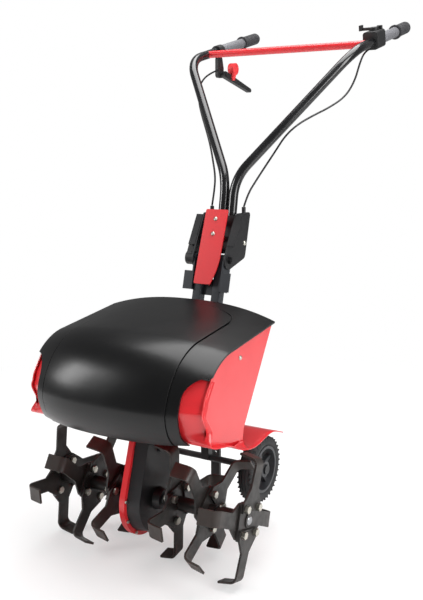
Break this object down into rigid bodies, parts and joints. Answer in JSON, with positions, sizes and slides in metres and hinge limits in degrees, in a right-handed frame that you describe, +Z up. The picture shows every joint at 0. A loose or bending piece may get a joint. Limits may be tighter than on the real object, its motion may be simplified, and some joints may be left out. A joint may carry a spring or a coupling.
{
  "type": "garden tiller",
  "caption": "Walk-behind garden tiller: hooded engine over six rotating tine stars, raised transport wheels, drag spur and a folding handlebar with clutch and throttle levers.",
  "frame": {"origin": "middle of the footprint, on the ground the tines and the spur stand on", "axes": "+X along the tine axle to the machine's right seen from in front, +Y back towards the grips, +Z up"},
  "size_m": [0.537, 1.1707, 1.2854],
  "materials": {
    "black_paint": "semi_gloss",
    "hood_black": "semi_gloss",
    "red_paint": "gloss",
    "tine_steel": "worn matt",
    "zinc": "satin",
    "steel": "ground",
    "column_paint": "satin",
    "engine_alloy": "cast",
    "engine_black": "matt",
    "black_plastic": "matt",
    "red_plastic": "gloss",
    "grip_rubber": "matt",
    "belt_rubber": "matt",
    "cable_sheath": "satin",
    "tyre_rubber": "matt",
    "rim_plastic": "matt"
  },
  "bodies": {
    "chassis": {"engine_deck": "black_paint", "chain_case_left": "red_paint", "chain_case_right": "black_paint", "case_bolts": "zinc", "body_pan": "red_paint", "hood_cover": "hood_black", "hood_panel": "hood_black", "crankcase": "engine_alloy", "cylinder": "engine_alloy", "recoil_housing": "engine_black", "muffler": "engine_black", "fuel_tank": "black_plastic", "air_filter": "black_plastic", "lower_column": "column_paint", "rear_hitch": "black_paint", "clamp_screws": "zinc", "v_belt": "belt_rubber", "chain_lower": "steel", "chain_upper": "steel"},
    "tine_rotor": {"tine_shaft": "steel", "tine_sprocket": "steel", "tine_hub_inner_left": "tine_steel", "tine_hub_inner_right": "tine_steel", "tine_hub_outer_left": "tine_steel", "tine_hub_outer_right": "tine_steel", "tine_blades_inner_left": "tine_steel", "tine_blades_inner_right": "tine_steel", "tine_blades_outer_left": "tine_steel", "tine_blades_outer_right": "tine_steel", "star_bolts": "zinc", "hub_pins": "zinc"},
    "middle_reduction": {"middle_shaft": "steel"},
    "clutch_shaft": {"input_shaft": "steel", "driven_pulley": "steel"},
    "crank_output": {"drive_pulley": "steel"},
    "belt_idler_arm": {"idler_arm": "black_paint"},
    "belt_idler_wheel": {"idler_pulley": "steel"},
    "starter_pull": {"recoil_handle": "black_plastic"},
    "fuel_filler_cap": {"fuel_cap": "black_plastic"},
    "handlebar": {"upper_bracket": "black_paint", "column_cover": "red_paint", "handle_tube_left": "black_paint", "handle_tube_right": "black_paint", "crossbar": "red_paint", "grip_left": "grip_rubber", "grip_right": "grip_rubber", "throttle_housing": "black_plastic", "clutch_bracket": "black_plastic", "clutch_cable": "cable_sheath", "throttle_cable": "cable_sheath"},
    "folding_lock": {"lock_lever": "black_paint"},
    "throttle_thumb": {"throttle_lever": "black_plastic"},
    "clutch_handle": {"clutch_lever": "black_plastic"},
    "clutch_lock_button": {"clutch_latch": "red_plastic"},
    "wheel_frame": {"wheel_carrier": "black_paint"},
    "wheel_left": {"wheel_rim_left": "rim_plastic", "tyre_left": "tyre_rubber"},
    "wheel_right": {"wheel_rim_right": "rim_plastic", "tyre_right": "tyre_rubber"},
    "drag_spur": {"depth_spur": "black_paint"}
  },
  "joints": [
    {"name": "tine_spin", "type": "hinge", "parent": "chassis", "child": "tine_rotor", "pos_m": [0, -0.39282, 0.14124], "axis": [1, 0, 0], "continuous": true},
    {"name": "middle_spin", "type": "hinge", "parent": "chassis", "child": "middle_reduction", "pos_m": [0, -0.38182, 0.262], "axis": [1, 0, 0], "continuous": true},
    {"name": "input_spin", "type": "hinge", "parent": "chassis", "child": "clutch_shaft", "pos_m": [0, -0.37282, 0.345], "axis": [1, 0, 0], "continuous": true},
    {"name": "crank_spin", "type": "hinge", "parent": "chassis", "child": "crank_output", "pos_m": [0, -0.27482, 0.395], "axis": [1, 0, 0], "continuous": true},
    {"name": "idler_swing", "type": "hinge", "parent": "chassis", "child": "belt_idler_arm", "pos_m": [0, -0.24082, 0.444], "axis": [1, 0, 0], "range_deg": [-3, 7], "deforming": ["v_belt"]},
    {"name": "idler_spin", "type": "hinge", "parent": "belt_idler_arm", "child": "belt_idler_wheel", "pos_m": [0, -0.33282, 0.435], "axis": [1, 0, 0], "continuous": true},
    {"name": "starter_slide", "type": "slide", "parent": "chassis", "child": "starter_pull", "axis": [0, 0.866, 0.5], "range_m": [0, 0.25], "stiffness_N_per_m": 20, "springref_m": -0.1},
    {"name": "fuel_cap_twist", "type": "hinge", "parent": "chassis", "child": "fuel_filler_cap", "pos_m": [-0.06, -0.41282, 0.505], "axis": [0, 0, 1], "range_deg": [0, 90]},
    {"name": "handlebar_fold", "type": "hinge", "parent": "chassis", "child": "handlebar", "pos_m": [0, -0.10782, 0.655], "axis": [1, 0, 0], "range_deg": [-35, 0]},
    {"name": "lock_swing", "type": "hinge", "parent": "handlebar", "child": "folding_lock", "pos_m": [0, -0.10782, 0.655], "axis": [1, 0, 0], "range_deg": [-90, 0]},
    {"name": "throttle_swing", "type": "hinge", "parent": "handlebar", "child": "throttle_thumb", "pos_m": [0.238, 0.3332, 1.23391], "axis": [0, -0.2488, 0.9685], "range_deg": [0, 60]},
    {"name": "clutch_squeeze", "type": "hinge", "parent": "handlebar", "child": "clutch_handle", "pos_m": [-0.23, 0.35318, 1.142], "axis": [1, 0, 0], "range_deg": [0, 28], "stiffness_Nm_per_rad": 1.5, "springref_deg": -22.92},
    {"name": "latch_press", "type": "hinge", "parent": "clutch_handle", "child": "clutch_lock_button", "pos_m": [-0.221, 0.39418, 1.133], "axis": [1, 0, 0], "range_deg": [0, 12], "stiffness_Nm_per_rad": 0.3, "springref_deg": -17.19},
    {"name": "wheel_height", "type": "slide", "parent": "chassis", "child": "wheel_frame", "axis": [0, 0, 1], "range_m": [-0.055, 0.04]},
    {"name": "wheel_left_spin", "type": "hinge", "parent": "wheel_frame", "child": "wheel_left", "pos_m": [-0.15, -0.13782, 0.151], "axis": [1, 0, 0], "continuous": true},
    {"name": "wheel_right_spin", "type": "hinge", "parent": "wheel_frame", "child": "wheel_right", "pos_m": [0.15, -0.13782, 0.151], "axis": [1, 0, 0], "continuous": true},
    {"name": "spur_depth", "type": "slide", "parent": "chassis", "child": "drag_spur", "axis": [0, 0, 1], "range_m": [-0.05, 0.08]}
  ],
  "couplings": [
    {"joint": "middle_spin", "follows": "tine_spin", "ratio": 3.2727},
    {"joint": "input_spin", "follows": "tine_spin", "ratio": 8.9256},
    {"joint": "idler_swing", "follows": "clutch_squeeze", "ratio": 0.2}
  ]
}
